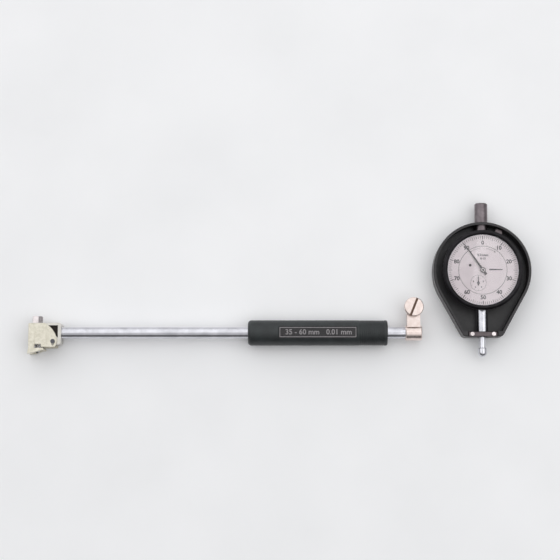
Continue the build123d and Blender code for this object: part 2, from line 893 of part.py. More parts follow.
def make_main_hand():
    widths = (hand_root_width, hand_tip_width, hand_hub_radius)
    hand = pointer(hand_length, hand_tail, *widths, main_hand_low)
    hand -= rod_z(centre_arbor_radius, main_hand_low - overrun, main_hand_top + overrun)
    return Rot(0, 0, hand_rest_degrees) * hand


def make_counter_hand():
    widths = (counter_hand_root, counter_hand_tip, counter_hub_radius)
    hand = pointer(counter_hand_length, counter_hand_tail, *widths, counter_hand_low)
    hand -= rod_z(arbor_radius, counter_hand_low - overrun, counter_hand_low + overrun)
    return Pos(counter_x, counter_y, 0) * Rot(0, 0, 90) * hand


# Holder: tube, grip and clamp
def make_probe_tube():
    low, high = tube_front, tube_rear
    return turned_x([(low, tube_bore), (low, tube_radius), (high, tube_radius), (high, tube_bore)])


def make_grip():
    bore = tube_radius + seat_fit
    low, high = grip_front, grip_rear
    body = turned_x([(low, bore), (low, grip_radius), (high, grip_radius), (high, bore)])
    for end, radius in ((0, grip_front_round), (-1, grip_rear_round)):
        rims = body.edges().filter_by(GeomType.CIRCLE).group_by(Axis.X)[end]
        body = fillet(rims.sort_by(SortBy.RADIUS)[-1], radius)
    for number in range(groove_count):
        x = grip_rear - groove_margin - number * groove_pitch
        body -= turned_x(
            [
                (x, grip_radius + overrun),
                (x, grip_radius - groove_depth),
                (x - groove_width, grip_radius - groove_depth),
                (x - groove_width, grip_radius + overrun),
            ]
        )
    window = extrude(RectangleRounded(label_length, label_width, label_corner), grip_radius)
    return body - label_place() * window


def label_place():
    return Pos(label_start + label_length / 2, tube_y, holder_z + grip_radius - label_depth)


def make_label_plate():
    length, width = label_length - 2 * body_gap, label_width - 2 * body_gap
    plate = extrude(RectangleRounded(length, width, label_corner - body_gap), label_plate_thickness)
    return label_place() * plate


def make_clamp_collar():
    body = turned_x(
        [
            (collar_start, 0),
            (collar_start, collar_radius - edge_chamfer),
            (collar_start + edge_chamfer, collar_radius),
            (collar_end - edge_chamfer, collar_radius),
            (collar_end, collar_radius - edge_chamfer),
            (collar_end, 0),
        ]
    )
    ear = Pos(0, knob_offset / 2) * Rectangle(ear_width, knob_offset)
    ear += Pos(0, knob_offset) * Circle(ear_width / 2)
    ear = extrude(ear, ear_half_thickness, both=True)
    body += Pos(collar_middle, tube_y, holder_z) * ear
    left, right = collar_start - overrun, collar_end + overrun
    body -= rod_x(tube_radius + seat_fit, left, right, tube_y, holder_z)
    low, high = holder_z - ear_slot / 2, holder_z + ear_slot / 2
    knob_y = tube_y + knob_offset
    body -= block(left, right, tube_y + ear_slot_start, knob_y + ear_width, low, high)
    low, high = holder_z - 2 * ear_half_thickness, holder_z + 2 * ear_half_thickness
    return body - rod_z(clamp_screw_radius + slide_fit, low, high, collar_middle, knob_y)


def make_clamp_screw():
    low = holder_z + ear_half_thickness + body_gap
    top = low + knob_thickness
    knob = rod_z(knob_radius, low, top)
    knob = fillet(knob.edges().sort_by(Axis.Z)[-1], knob_round)
    knob = chamfer(knob.edges().sort_by(Axis.Z)[0], edge_chamfer)
    middle = Pos(knob_radius + knob_knurl_offset, 0, (low + top) / 2)
    groove = middle * Rot(0, 0, 45) * Box(knob_knurl_width, knob_knurl_width, 2 * knob_thickness)
    knob -= [Rot(0, 0, number * 360 / knob_knurls) * groove for number in range(knob_knurls)]
    knob -= driver_slot(knob_radius, knob_slot_width, knob_slot_depth, knob_slot_degrees, 0, 0, top)
    shank = rod_z(clamp_screw_radius, holder_z - ear_half_thickness, low)
    return Pos(collar_middle, tube_y + knob_offset, 0) * (knob + shank)


# Holder: head body with its bores, and the anvil nut
def make_head_body():
    thickness = 2 * head_half_thickness
    width, height = head_right - head_left, head_top - head_bottom
    middle = ((head_right + head_left) / 2, (head_top + head_bottom) / 2)
    outline = Pos(*middle) * RectangleRounded(width, height, head_corner)
    body = Pos(0, 0, -head_half_thickness) * extrude(outline, thickness)
    pocket = make_face(
        Polyline(
            (head_pocket_left, head_pocket_top),
            (head_pocket_right, head_pocket_top),
            (head_pocket_right, head_pocket_bottom),
            close=True,
        )
    )
    for side in (-1, 1):
        face = head_half_thickness - head_pocket_depth if side > 0 else -head_half_thickness - overrun
        body -= Pos(0, 0, face) * extrude(pocket, head_pocket_depth + overrun)
    body += rod_y(nipple_radius, head_top - overrun, nipple_end)
    body -= rod_y(anvil_bore_radius, anvil_bore_bottom, nipple_end + overrun)
    plunger_high = -lever_arm + lever_tip_radius + contact_travel
    body -= rod_y(plunger_radius + slide_fit, head_bottom - overrun, plunger_high)
    body -= lever_cavity()
    body -= rod_x(rod_radius + body_gap, lever_arm, head_right - tube_socket + overrun)
    body -= rod_x(tube_radius + seat_fit, head_right - tube_socket, head_right + overrun)
    body -= rod_z(lever_pin_radius, -thickness, thickness, lever_arm, -lever_arm)
    for side in (-1, 1):
        body -= rod_y(
            bridge_spring_radius + bridge_spring_wire + body_gap,
            head_bottom - overrun,
            head_bottom + bridge_spring_pocket,
            z=side * bridge_spring_z,
        )
        face = side * head_half_thickness
        deep = side * (head_half_thickness - bridge_screw_depth)
        body -= rod_z(bridge_screw_radius, min(face, deep), max(face, deep), bridge_screw_x, bridge_screw_y)
    return at_head(body)


def lever_cavity():
    """The slot in which the lever swings, a little wider than the lever on every side."""
    gap = body_gap + lever_tip_radius
    left = -gap
    right = lever_arm + contact_travel + gap
    low, high = -lever_arm - gap, gap
    half = cavity_half_thickness
    hub = rod_z(lever_hub_radius + body_gap, -half, half, lever_arm, -lever_arm)
    return block(left, right, low, high, -half, half) + hub


def make_anvil_nut():
    radius = nut_flats / math.sqrt(3)
    outline = Rot(0, 0, 90) * RegularPolygon(radius, 6)
    body = Rot(-90, 0, 0) * Rot(0, 0, nut_turn_degrees) * extrude(outline, nut_end - head_top)
    body = Pos(0, head_top, 0) * body
    round_off = turned_y(
        [
            (0, head_top),
            (radius, head_top),
            (radius, nut_end - nut_chamfer),
            (radius - 2 * nut_chamfer, nut_end),
            (0, nut_end),
        ]
    )
    body &= round_off
    body -= rod_y(nut_lip_radius, head_top - overrun, nut_end + overrun)
    return at_head(body - rod_y(nipple_radius + seat_fit, head_top - overrun, nipple_end + body_gap))


# Holder: measuring contact, lever and push rod
def make_contact_plunger():
    top = -lever_arm - lever_tip_radius - contact_gap
    body = turned_y(
        [
            (0, tip_end + tip_radius),
            (plunger_nose_radius, tip_end + tip_radius),
            (plunger_radius, plunger_shoulder),
            (plunger_radius, top - plunger_pin_length),
            (plunger_pin_radius, top - plunger_pin_length),
            (plunger_pin_radius, top),
            (0, top),
        ]
    )
    return at_head(body - Pos(0, tip_end + tip_radius, 0) * Sphere(tip_radius))


def make_carbide_tip():
    return at_head(Pos(0, tip_end + tip_radius, 0) * Sphere(tip_radius))


def make_transfer_lever():
    outline = Pos(lever_arm, -lever_arm) * Circle(lever_hub_radius)
    for place in ((0, -lever_arm), (lever_arm, 0)):
        outline += Pos(*place) * Circle(lever_tip_radius)
    outline += Pos(lever_arm / 2, -lever_arm) * Rectangle(lever_arm, lever_arm_width)
    outline += Pos(lever_arm, -lever_arm / 2) * Rectangle(lever_arm_width, lever_arm)
    outline -= Pos(lever_arm, -lever_arm) * Circle(lever_pin_radius + slide_fit)
    return at_head(extrude(outline, lever_half_thickness, both=True))


def make_lever_pin():
    half = head_half_thickness
    return at_head(rod_z(lever_pin_radius, -half, half, lever_arm, -lever_arm))


def make_push_rod():
    collar_end_x = rod_collar_x + rod_collar_length
    return turned_x(
        [
            (rod_front, 0),
            (rod_front, rod_radius - rod_chamfer),
            (rod_front + rod_chamfer, rod_radius),
            (rod_collar_x, rod_radius),
            (rod_collar_x, rod_collar_radius),
            (collar_end_x, rod_collar_radius),
            (collar_end_x, rod_radius),
            (rod_end - rod_button_length, rod_radius),
            (rod_end - rod_button_length, rod_button_radius),
            (rod_end, rod_button_radius),
            (rod_end, 0),
        ]
    )


def rod_bushing(low):
    hole = rod_radius + slide_fit
    high = low + bushing_length
    return turned_x([(low, hole), (low, tube_bore), (high, tube_bore), (high, hole)])


def make_front_rod_bushing():
    return rod_bushing(tube_front)


def make_rear_rod_bushing():
    return rod_bushing(rod_collar_x + rod_collar_length + rod_spring_length)


def make_push_rod_spring():
    start = rod_collar_x + rod_collar_length
    spring = coil(rod_spring_radius, rod_spring_wire, rod_spring_length, rod_spring_coils)
    return Pos(start, tube_y, holder_z) * Rot(0, 90, 0) * spring


# Holder: centring bridge, its guide screws and springs
def cheek_outline():
    start, end = (cheek_top_run, cheek_top), (cheek_right, cheek_curve_end)
    lines = Line((cheek_left, cheek_top), start)
    lines += ThreePointArc(start, (cheek_curve_x, cheek_curve_y), end)
    lines += Polyline(
        end,
        (cheek_foot, cheek_bottom),
        (window_right, cheek_bottom),
        (window_right, window_bottom_edge),
        (window_left, window_bottom_edge),
        (window_left, cheek_bottom),
        (cheek_left, cheek_bottom),
        (cheek_left, cheek_top),
    )
    outline = make_face(lines)
    half = bridge_screw_radius + slide_fit
    slot = Rot(0, 0, 90) * SlotCenterToCenter(bridge_travel, 2 * half)
    return outline - Pos(bridge_screw_x, bridge_screw_y - bridge_travel / 2) * slot


def shoe_outline():
    middle = ((shoe_left + shoe_right) / 2, (shoe_low + shoe_right_low) / 2 - shoe_bulge)
    left, right = (shoe_left, shoe_low), (shoe_right, shoe_right_low)
    lines = Polyline(right, (web_right, web_top), (cheek_left, web_top), left)
    lines += ThreePointArc(left, middle, right)
    return make_face(lines)


def make_bridge():
    body = block(cheek_left, web_right, web_top - web_thickness, web_top, -bar_outer, bar_outer)
    body -= rod_y(web_hole_radius, shoe_low, 0)
    for side in (-1, 1):
        low = cheek_inner if side > 0 else -cheek_outer
        body += Pos(0, 0, low) * extrude(cheek_outline(), cheek_thickness)
        low = cheek_inner if side > 0 else -bar_outer
        foot = shoe_low + bar_foot_gap
        body += block(cheek_left, bar_right, foot, bar_top, low, low + bar_outer - cheek_inner)
        low = shoe_inner if side > 0 else -bar_outer
        body += Pos(0, 0, low) * extrude(shoe_outline(), bar_outer - shoe_inner)
    return at_head(body)


def make_bridge_screws():
    screws = []
    x, y = bridge_screw_x, bridge_screw_y
    for side in (-1, 1):
        inner = side * (head_half_thickness - bridge_screw_depth)
        head = side * (bar_outer - bridge_screw_head)
        tip = side * bar_outer
        screw = rod_z(bridge_screw_radius, min(inner, head), max(inner, head), x, y)
        screw += rod_z(bridge_screw_head_radius, min(head, tip), max(head, tip), x, y)
        width, depth = bridge_screw_slot, bridge_screw_head / 2
        slot = driver_slot(bridge_screw_head_radius, width, depth, bridge_screw_turn, x, y, tip)
        screws.append(at_head(screw - slot))
    return screws


def make_bridge_springs():
    length = head_bottom + bridge_spring_pocket - web_top
    springs = []
    for side in (-1, 1):
        spring = coil(bridge_spring_radius, bridge_spring_wire, length, bridge_spring_coils)
        springs.append(at_head(Pos(0, web_top, side * bridge_spring_z) * Rot(-90, 0, 0) * spring))
    return springs


pieces = {
    "head_body": make_head_body,
    "anvil_nut": make_anvil_nut,
    "contact_plunger": make_contact_plunger,
    "carbide_tip": make_carbide_tip,
    "bridge": make_bridge,
    "bridge_screws": make_bridge_screws,
    "bridge_springs": make_bridge_springs,
    "transfer_lever": make_transfer_lever,
    "lever_pin": make_lever_pin,
    "probe_tube": make_probe_tube,
    "push_rod": make_push_rod,
    "push_rod_spring": make_push_rod_spring,
    "front_rod_bushing": make_front_rod_bushing,
    "rear_rod_bushing": make_rear_rod_bushing,
    "grip": make_grip,
    "label_plate": make_label_plate,
    "clamp_collar": make_clamp_collar,
    "clamp_screw": make_clamp_screw,
    "guard": make_guard,
    "stem_saddle": make_stem_saddle,
    "saddle_screws": make_saddle_screws,
    "indicator_case": make_indicator_case,
    "back_cover": make_back_cover,
    "back_screws": make_back_screws,
    "bezel_claw": make_bezel_claw,
    "bezel_thumb_screw": make_bezel_thumb_screw,
    "stem": make_stem,
    "upper_bushing": make_upper_bushing,
    "top_cap": make_top_cap,
    "spindle": make_spindle,
    "crosshead": make_crosshead,
    "contact_point": make_contact_point,
    "rear_plate": make_rear_plate,
    "front_plate": make_front_plate,
    "pillars": make_pillars,
    "spring_post": make_spring_post,
    "return_spring": make_return_spring,
    "counter_arbor": make_counter_arbor,
    "counter_gear": make_counter_gear,
    "counter_hand": make_counter_hand,
    "centre_arbor": make_centre_arbor,
    "centre_bushing": make_centre_bushing,
    "main_hand": make_main_hand,
    "takeup_gear": make_takeup_gear,
    "hairspring": make_hairspring,
    "centre_dial": make_centre_dial,
    "scale_ring": make_scale_ring,
    "spacer_ring": make_spacer_ring,
    "crystal": make_crystal,
    "bezel": make_bezel,
    "bezel_wire": make_bezel_wire,
}

os.makedirs("parts", exist_ok=True)
for name, make in pieces.items():
    shape = make()
    solids = shape if isinstance(shape, list) else list(shape.solids())
    export_step(Compound(children=solids) if len(solids) > 1 else solids[0], f"parts/{name}.step")
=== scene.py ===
import math
import bmesh
import bpy
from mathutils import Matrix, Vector


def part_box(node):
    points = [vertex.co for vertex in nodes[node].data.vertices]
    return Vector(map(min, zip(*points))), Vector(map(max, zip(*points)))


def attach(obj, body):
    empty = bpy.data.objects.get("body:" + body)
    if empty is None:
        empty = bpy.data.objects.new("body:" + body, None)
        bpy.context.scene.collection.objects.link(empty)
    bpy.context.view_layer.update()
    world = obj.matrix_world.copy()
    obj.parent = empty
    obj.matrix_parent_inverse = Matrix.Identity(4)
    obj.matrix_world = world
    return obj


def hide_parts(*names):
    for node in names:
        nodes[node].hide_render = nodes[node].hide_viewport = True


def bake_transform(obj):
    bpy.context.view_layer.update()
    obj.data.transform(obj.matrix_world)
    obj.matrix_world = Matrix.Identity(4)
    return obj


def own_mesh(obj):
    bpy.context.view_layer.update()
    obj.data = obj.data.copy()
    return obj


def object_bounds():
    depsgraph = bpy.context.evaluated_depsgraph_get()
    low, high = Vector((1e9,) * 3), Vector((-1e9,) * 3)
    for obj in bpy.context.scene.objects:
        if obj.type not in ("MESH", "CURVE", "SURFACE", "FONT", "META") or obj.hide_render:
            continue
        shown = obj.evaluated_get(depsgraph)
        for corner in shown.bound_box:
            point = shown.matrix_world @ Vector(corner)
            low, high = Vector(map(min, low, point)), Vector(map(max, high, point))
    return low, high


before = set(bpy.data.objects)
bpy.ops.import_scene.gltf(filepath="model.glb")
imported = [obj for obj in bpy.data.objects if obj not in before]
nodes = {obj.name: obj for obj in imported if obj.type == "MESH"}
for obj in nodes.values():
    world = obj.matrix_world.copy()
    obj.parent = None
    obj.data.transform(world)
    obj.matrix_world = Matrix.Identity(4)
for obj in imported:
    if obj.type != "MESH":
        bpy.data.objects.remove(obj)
cad_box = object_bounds()

# Probe tube.
# Drawn steel tube, ground between centres and chromed to a soft satin shine. The grinding runs round
# it, so its faint marks are fine rings. It is pressed into the head and into the clamp.
MM = 0.001


def srgb(red, green, blue):
    """A colour as it is seen, from 0 to 255, in the linear values that a shader takes."""
    def linear(value):
        value /= 255
        return value / 12.92 if value <= 0.04045 else ((value + 0.055) / 1.055) ** 2.4
    return linear(red), linear(green), linear(blue)


def new_finish(name, colour, metallic, roughness):
    material = bpy.data.materials.new(name)
    material.use_nodes = True
    shader = material.node_tree.nodes["Principled BSDF"]
    shader.inputs["Base Color"].default_value = (*colour, 1)
    shader.inputs["Metallic"].default_value = metallic
    shader.inputs["Roughness"].default_value = roughness
    return material, material.node_tree, shader


def cloud(tree, grain, stretch=(1, 1, 1), detail=4):
    """Noise fixed to the object, with spots of about the grain's size in millimetres."""
    place = tree.nodes.new("ShaderNodeTexCoord")
    mapping = tree.nodes.new("ShaderNodeMapping")
    mapping.inputs["Scale"].default_value = [share / (grain * MM) for share in stretch]
    noise = tree.nodes.new("ShaderNodeTexNoise")
    noise.inputs["Scale"].default_value = 1
    noise.inputs["Detail"].default_value = detail
    tree.links.new(place.outputs["Object"], mapping.inputs["Vector"])
    tree.links.new(mapping.outputs["Vector"], noise.inputs["Vector"])
    return noise.outputs["Fac"]


def spread(tree, value, low, high, start=0.3, end=0.7):
    """The value stretched from its usual range to low and high."""
    node = tree.nodes.new("ShaderNodeMapRange")
    node.inputs["From Min"].default_value = start
    node.inputs["From Max"].default_value = end
    node.inputs["To Min"].default_value = low
    node.inputs["To Max"].default_value = high
    tree.links.new(value, node.inputs["Value"])
    return node.outputs["Result"]


def tint(tree, shader, value, dark, light, start=0.35, end=0.65):
    """Colour that drifts between two shades."""
    ramp = tree.nodes.new("ShaderNodeValToRGB")
    ramp.color_ramp.elements[0].position = start
    ramp.color_ramp.elements[0].color = (*dark, 1)
    ramp.color_ramp.elements[1].position = end
    ramp.color_ramp.elements[1].color = (*light, 1)
    tree.links.new(value, ramp.inputs["Fac"])
    tree.links.new(ramp.outputs["Color"], shader.inputs["Base Color"])
    return ramp.outputs["Color"]


def relief(tree, shader, value, height, edge=0.15):
    """Fine relief of a height in millimetres, over edges that are broken by a small radius."""
    soft = tree.nodes.new("ShaderNodeBevel")
    soft.samples = 4
    soft.inputs["Radius"].default_value = edge * MM
    bump = tree.nodes.new("ShaderNodeBump")
    bump.inputs["Strength"].default_value = 1
    bump.inputs["Distance"].default_value = height * MM
    tree.links.new(value, bump.inputs["Height"])
    tree.links.new(soft.outputs["Normal"], bump.inputs["Normal"])
    tree.links.new(bump.outputs["Normal"], shader.inputs["Normal"])


def ground_chrome(name, along, dark=srgb(200, 200, 206), light=srgb(222, 222, 228)):
    """Ground and chromed steel, with marks that are narrow along the shaft's own axis."""
    material, tree, shader = new_finish(name, light, 1.0, 0.2)
    rings = [1 if axis == along else 0.04 for axis in "xyz"]
    tint(tree, shader, cloud(tree, 8), dark, light)
    tree.links.new(spread(tree, cloud(tree, 0.7, rings), 0.16, 0.25), shader.inputs["Roughness"])
    relief(tree, shader, cloud(tree, 0.6, rings), 0.0006)
    return material


def dress(material, *names):
    """Give CAD nodes their finish."""
    for name in names:
        mesh = nodes[name].data
        mesh.materials.clear()
        mesh.materials.append(material)


dress(ground_chrome("ground_chrome_tube", "x"), "probe_tube")

# Measuring contact, push rod, springs and lever inside the holder.
# The plunger carries a carbide ball and pushes a bell crank, which moves the long rod to the gauge's
# far end. Hardened steel with a thin film of oil, running in two turned brass bushings.


def oiled_steel(name, colour):
    material, tree, shader = new_finish(name, colour, 1.0, 0.3)
    tint(tree, shader, cloud(tree, 2), [part * 0.7 for part in colour], colour)
    tree.links.new(spread(tree, cloud(tree, 0.6), 0.22, 0.42), shader.inputs["Roughness"])
    relief(tree, shader, cloud(tree, 0.2), 0.003, edge=0.08)
    return material


def turned_brass():
    material, tree, shader = new_finish("turned_brass", srgb(214, 178, 96), 1.0, 0.3)
    tint(tree, shader, cloud(tree, 5), srgb(196, 156, 78), srgb(222, 188, 108))
    tree.links.new(spread(tree, cloud(tree, 0.3), 0.2, 0.36), shader.inputs["Roughness"])
    relief(tree, shader, cloud(tree, 0.12), 0.0008, edge=0.05)
    return material


spring_steel = oiled_steel("spring_steel", srgb(150, 150, 156))
dark_steel = oiled_steel("dark_steel", srgb(104, 104, 108))
brass = turned_brass()
dress(spring_steel, "push_rod")
dress(dark_steel, "transfer_lever", "lever_pin", "bridge_screws")
dress(oiled_steel("sintered_carbide", srgb(88, 90, 94)), "carbide_tip")
dress(ground_chrome("ground_chrome_plunger", "y"), "contact_plunger")
dress(brass, "front_rod_bushing", "rear_rod_bushing")

# Springs inside the holder.
# Three compression springs of round steel wire. The long one holds the push rod against its lever, and
# two short ones press the bridge outward. They sit between faces that move, and shorten as these near.


def finished(name, shape, material, body):
    """Turn a bmesh into a piece that has its finish and rides a body."""
    mesh = bpy.data.meshes.new(name)
    shape.to_mesh(mesh)
    shape.free()
    mesh.materials.append(material)
    piece = bpy.data.objects.new(name, mesh)
    bpy.context.scene.collection.objects.link(piece)
    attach(piece, body)
    return piece


def wind(shape, start, end, radius, wire, turns, steps=24, sides=8):
    """Add a coil of round wire that runs from one point to another, in millimetres."""
    start, run = Vector(start), Vector(end) - Vector(start)
    lean = Vector((0, 0, 1)).rotation_difference(run)
    rings = []
    for number in range(turns * steps + 1):
        angle = number * math.tau / steps
        out = Vector((math.cos(angle), math.sin(angle), 0))
        rise = wire + (run.length - 2 * wire) * number / (turns * steps)
        ring = []
        for side in range(sides):
            tilt = side * math.tau / sides
            spot = out * (radius + wire * math.cos(tilt)) + Vector((0, 0, rise + wire * math.sin(tilt)))
            ring.append(shape.verts.new((start + lean @ spot) * MM))
        rings.append(ring)
    for lower, upper in zip(rings, rings[1:]):
        for side in range(sides):
            after = (side + 1) % sides
            shape.faces.new((lower[side], lower[after], upper[after], upper[side]))
    shape.faces.new(list(reversed(rings[0])))
    shape.faces.new(rings[-1])
    bmesh.ops.recalc_face_normals(shape, faces=shape.faces)


def span(name):
    """The low and the high corner of a CAD node's box, in millimetres."""
    return [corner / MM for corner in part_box(name)]


def shortened(piece):
    """Give a spring its own copy of its mesh."""
    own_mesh(piece)


bridge_wire, bridge_turns = 0.22, 6
low, high = span("bridge_springs")
outside = (high.x - low.x) / 2
shape = bmesh.new()
for z in (low.z + outside, high.z - outside):
    ends = ((low.x + outside, low.y, z), (low.x + outside, high.y, z))
    wind(shape, *ends, outside - bridge_wire, bridge_wire, bridge_turns)
coils = finished("bridge_coils", shape, spring_steel, "frame")
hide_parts("bridge_springs")
shortened(coils)

rod_wire, rod_turns = 0.35, 9
low, high = span("push_rod_spring")
outside = (high.z - low.z) / 2
centre_y, centre_z = (low.y + high.y) / 2, (low.z + high.z) / 2
ends = ((low.x, centre_y, centre_z), (high.x, centre_y, centre_z))
shape = bmesh.new()
wind(shape, *ends, outside - rod_wire, rod_wire, rod_turns)
coils = finished("push_rod_coils", shape, spring_steel, "frame")
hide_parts("push_rod_spring")
shortened(coils)

# Measuring head.
# A milled steel block, drilled crosswise, with a chromed hexagon nut round the bore's mouth. The recess
# beside each cheek is painted dark as its shade, while the outer faces are ground bright.
recess_width, recess_height = 7.7, 8.9
recess_from_right, recess_from_top = 2.2, 5.1


def object_place(tree):
    """The place on the piece itself, whole and as its three parts."""
    place = tree.nodes.new("ShaderNodeTexCoord").outputs["Object"]
    parts = tree.nodes.new("ShaderNodeSeparateXYZ")
    tree.links.new(place, parts.inputs["Vector"])
    return place, parts.outputs


def between(tree, value, low, high):
    """One where the value lies between two places in millimetres, and zero elsewhere."""
    node = tree.nodes.new("ShaderNodeMath")
    node.operation = "COMPARE"
    node.inputs[1].default_value = (low + high) / 2 * MM
    node.inputs[2].default_value = (high - low) / 2 * MM
    tree.links.new(value, node.inputs[0])
    return node.outputs["Value"]


def both(tree, first, second):
    node = tree.nodes.new("ShaderNodeMath")
    node.operation = "MULTIPLY"
    tree.links.new(first, node.inputs[0])
    tree.links.new(second, node.inputs[1])
    return node.outputs["Value"]


def stained(tree, shader, base_tone, mask, dark_tone):
    """The base colour, and a stain or a painted shade where the mask is one."""
    blend = tree.nodes.new("ShaderNodeMix")
    blend.data_type = "RGBA"
    blend.inputs["B"].default_value = (*dark_tone, 1)
    tree.links.new(mask, blend.inputs["Factor"])
    tree.links.new(base_tone, blend.inputs["A"])
    tree.links.new(blend.outputs["Result"], shader.inputs["Base Color"])


def milled_head():
    material, tree, shader = new_finish("milled_head", srgb(214, 211, 204), 1.0, 0.32)
    bright = tint(tree, shader, cloud(tree, 3), srgb(200, 197, 190), srgb(218, 215, 208))
    place, parts = object_place(tree)
    low, high = span("head_body")
    right, top, skin = high.x - recess_from_right, high.y - recess_from_top, 0.2
    across = between(tree, parts["X"], right - recess_width, right + skin)
    along = between(tree, parts["Y"], top - recess_height, top + skin)
    deep = between(tree, parts["Z"], low.z + skin, high.z - skin)
    # Painted shade: the recess beside each cheek is darkened in the colour, as shade inside it.
    stained(tree, shader, bright, both(tree, both(tree, across, along), deep), srgb(46, 43, 40))
    tree.links.new(spread(tree, cloud(tree, 0.5), 0.25, 0.42), shader.inputs["Roughness"])
    relief(tree, shader, cloud(tree, 0.12, detail=6), 0.004, edge=0.2)
    return material


dress(milled_head(), "head_body")
nut_chrome = ground_chrome("nut_chrome", "y", srgb(208, 200, 200), srgb(232, 224, 224))
dress(nut_chrome, "anvil_nut")

# Centring bridge.
# Two cheeks, a web and two shoes, sintered from steel powder and plated, which leaves a warm, finely
# pitted satin surface. Springs press it outward, and two screws in slots guide it.


def sintered_steel():
    material, tree, shader = new_finish("sintered_steel", srgb(226, 221, 206), 1.0, 0.42)
    drift = tint(tree, shader, cloud(tree, 2.5, detail=3), srgb(214, 209, 193), srgb(232, 227, 213))
    pits = cloud(tree, 0.3, detail=3)
    stained(tree, shader, drift, spread(tree, pits, 1, 0, 0.3, 0.44), srgb(170, 164, 144))
    tree.links.new(spread(tree, cloud(tree, 0.6), 0.36, 0.5), shader.inputs["Roughness"])
    relief(tree, shader, pits, 0.02, edge=0.3)
    return material


dress(sintered_steel(), "bridge")

# Grip.
# A moulded sleeve of dark plastic over the tube, with turned grooves at its rear end and a dark plate
# let into its front. The plastic has the fine texture of a spark-eroded mould.


def moulded_plastic(name, dark, light, rough, height, grain=0.25):
    material, tree, shader = new_finish(name, light, 0.0, rough)
    tint(tree, shader, cloud(tree, 7), dark, light)
    tree.links.new(spread(tree, cloud(tree, 1.2), rough - 0.06, rough + 0.08), shader.inputs["Roughness"])
    relief(tree, shader, cloud(tree, grain, detail=2), height, edge=0.25)
    return material


dress(moulded_plastic("grip_plastic", srgb(31, 35, 36), srgb(41, 46, 47), 0.45, 0.02), "grip")

# Label plate.
# A thin anodised plate cemented into the grip's window, with a printed border and the range and the
# reading of the gauge in pale ink.
dress(moulded_plastic("label_plate_black", srgb(26, 24, 26), srgb(34, 31, 33), 0.3, 0.006), "label_plate")
ink_height = 0.03
font_size_for_height = 1.4


def printing_ink(name, colour):
    material, tree, shader = new_finish(name, colour, 0.0, 0.5)
    tint(tree, shader, cloud(tree, 0.6), [part * 0.75 for part in colour], colour)
    tree.links.new(spread(tree, cloud(tree, 0.3), 0.42, 0.6), shader.inputs["Roughness"])
    return material


def printed(name, outlines, low, material, body):
    """Flat ink shapes, each a closed outline in millimetres, that stand a little above a height."""
    shape = bmesh.new()
    for outline in outlines:
        lower = [shape.verts.new((x * MM, y * MM, low * MM)) for x, y in outline]
        upper = [shape.verts.new((x * MM, y * MM, (low + ink_height) * MM)) for x, y in outline]
        shape.faces.new(list(reversed(lower)))
        shape.faces.new(upper)
        for number in range(len(outline)):
            after = (number + 1) % len(outline)
            shape.faces.new((lower[number], lower[after], upper[after], upper[number]))
    bmesh.ops.recalc_face_normals(shape, faces=shape.faces)
    return finished(name, shape, material, body)


def lettered(name, words, low, material, body):
    """Printed words, each given as its text, place, height in millimetres and boldness."""
    shape = bmesh.new()
    for text, x, y, height, bold in words:
        curve = bpy.data.curves.new("letters", "FONT")
        curve.body = text
        curve.size = height * font_size_for_height * MM
        curve.align_x = "CENTER"
        curve.align_y = "CENTER"
        curve.extrude = ink_height / 2 * MM
        curve.resolution_u = 3
        curve.offset = bold * MM
        holder = bpy.data.objects.new("letters", curve)
        holder.location = (x * MM, y * MM, (low + ink_height / 2) * MM)
        bpy.context.scene.collection.objects.link(holder)
        bpy.context.view_layer.update()
        evaluated = holder.evaluated_get(bpy.context.evaluated_depsgraph_get())
        flat = bpy.data.meshes.new_from_object(evaluated)
        flat.transform(holder.matrix_world)
        shape.from_mesh(flat)
        bpy.data.objects.remove(holder)
        bpy.data.meshes.remove(flat)
        bpy.data.curves.remove(curve)
    return finished(name, shape, material, body)


def rectangle(left, bottom, right, top):
    return [(left, bottom), (right, bottom), (right, top), (left, top)]


pale_ink = printing_ink("pale_ink", srgb(150, 146, 148))
low, high = span("label_plate")
border_inset, border_width = 0.4, 0.45
left, right = low.x + border_inset, high.x - border_inset
bottom, top = low.y + border_inset, high.y - border_inset
border = [
    rectangle(left, bottom, right, bottom + border_width),
    rectangle(left, top - border_width, right, top),
    rectangle(left, bottom + border_width, left + border_width, top - border_width),
    rectangle(right - border_width, bottom + border_width, right, top - border_width),
]
printed("label_border", border, high.z, pale_ink, "frame")

letter_height, letter_bold = 3.7, 0.08
range_offset, reading_offset = -11, 15
plate_x, plate_y = (low.x + high.x) / 2, (low.y + high.y) / 2
words = [
    ("35 - 60 mm", plate_x + range_offset, plate_y, letter_height, letter_bold),
    ("0.01 mm", plate_x + reading_offset, plate_y, letter_height, letter_bold),
]
lettered("label_words", words, high.z, pale_ink, "frame")

# Clamp collar and clamp screw.
# The split collar is soldered to the tube's end and holds the indicator's stem. Collar and screw are
# turned from brass and nickelled, with a warmer tone than the tube. The slot is painted dark as its
# shade.
slot_width, slot_depth, slot_degrees = 1.6, 1.8, 68
slot_unshaded_rim = 0.25


def pearl_nickel(name):
    material, tree, shader = new_finish(name, srgb(232, 217, 211), 1.0, 0.28)
    base_tone = tint(tree, shader, cloud(tree, 3), srgb(222, 206, 199), srgb(236, 222, 216))
    tree.links.new(spread(tree, cloud(tree, 0.5), 0.24, 0.34), shader.inputs["Roughness"])
    relief(tree, shader, cloud(tree, 0.25), 0.002, edge=0.15)
    return material, tree, shader, base_tone


